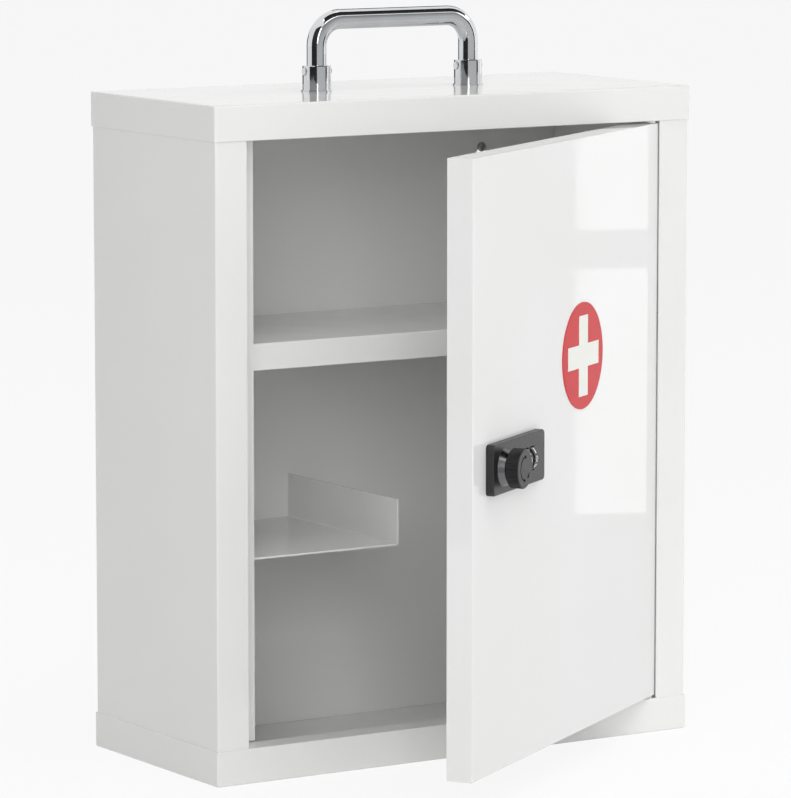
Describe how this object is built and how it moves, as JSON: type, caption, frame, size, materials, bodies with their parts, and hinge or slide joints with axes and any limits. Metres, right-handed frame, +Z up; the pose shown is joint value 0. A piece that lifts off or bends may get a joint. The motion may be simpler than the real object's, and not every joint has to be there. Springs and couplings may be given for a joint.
{
  "type": "lockable medicine cabinet",
  "caption": "Small white sheet-steel medicine cabinet with a hinged glossy door, combination lock, shelf, side tray, cross badge and a tubular carrying handle.",
  "frame": {"origin": "middle of the base, on the surface that the cabinet stands on", "axes": "+Z up, the front and its door face -Y, +X to the right of someone facing the door"},
  "size_m": [0.32, 0.2912, 0.4265],
  "materials": {
    "white_enamel": "semi-gloss powder coat",
    "gloss_enamel": "high gloss enamel",
    "steel": "zinc plated",
    "chrome": "polished",
    "dark_plating": "black nickel, polished",
    "brass": "plain",
    "nylon": "plain",
    "black_plastic": "fine satin texture",
    "wheel_plastic": "gloss, with pale plain digits",
    "red_print": "gloss film",
    "pale_print": "gloss film"
  },
  "bodies": {
    "cabinet": {"bottom_tray": "white_enamel", "top_cap": "white_enamel", "side_panel_left": "white_enamel", "side_panel_right": "white_enamel", "back_panel": "white_enamel", "shelf": "white_enamel", "side_tray": "white_enamel", "hinge_pin_lower": "steel", "hinge_pin_upper": "steel", "hinge_washer_lower": "nylon", "hinge_washer_upper": "nylon", "handle_bar": "chrome", "handle_socket_left": "chrome", "handle_socket_right": "chrome", "handle_rivets": "chrome", "handle_washers": "steel", "handle_screws": "steel"},
    "door": {"door_outer_pan": "gloss_enamel", "door_inner_panel": "white_enamel", "hinge_block_lower": "steel", "hinge_block_upper": "steel", "badge_disc": "red_print", "badge_cross": "pale_print", "lock_plate": "black_plastic", "lock_housing": "black_plastic", "lock_cover": "black_plastic", "lock_screws": "steel", "knob_collar": "dark_plating", "wheel_axle": "steel", "detent_spring": "steel"},
    "knob": {"knob": "black_plastic", "spindle": "steel", "cam": "steel", "cam_washer": "steel", "cam_screw": "steel"},
    "wheel_1": {"number_wheel_1": "wheel_plastic", "gate_ring_1": "brass"},
    "wheel_2": {"number_wheel_2": "wheel_plastic", "gate_ring_2": "brass"},
    "wheel_3": {"number_wheel_3": "wheel_plastic", "gate_ring_3": "brass"},
    "fence": {"fence_bar": "steel"}
  },
  "joints": [
    {"name": "door_hinge", "type": "hinge", "parent": "cabinet", "child": "door", "pos_m": [0.1347, -0.066, 0.19], "axis": [0, 0, 1], "range_deg": [-33.8, 58.2]},
    {"name": "knob_turn", "type": "hinge", "parent": "door", "child": "knob", "pos_m": [-0.06135, -0.20206, 0.1892], "axis": [0.5563, -0.831, 0], "range_deg": [0, 90]},
    {"name": "fence_slide", "type": "slide", "parent": "door", "child": "fence", "axis": [0, 0, -1], "range_m": [0, 0.001]},
    {"name": "wheel_turn_1", "type": "hinge", "parent": "door", "child": "wheel_1", "pos_m": [-0.0429, -0.18971, 0.1892], "axis": [0.831, 0.5563, 0], "continuous": true},
    {"name": "wheel_turn_2", "type": "hinge", "parent": "door", "child": "wheel_2", "pos_m": [-0.03625, -0.18526, 0.1892], "axis": [0.831, 0.5563, 0], "continuous": true},
    {"name": "wheel_turn_3", "type": "hinge", "parent": "door", "child": "wheel_3", "pos_m": [-0.0296, -0.18081, 0.1892], "axis": [0.831, 0.5563, 0], "continuous": true}
  ],
  "couplings": [
    {"joint": "fence_slide", "follows": "knob_turn", "m_per_rad": 0.00063598}
  ]
}
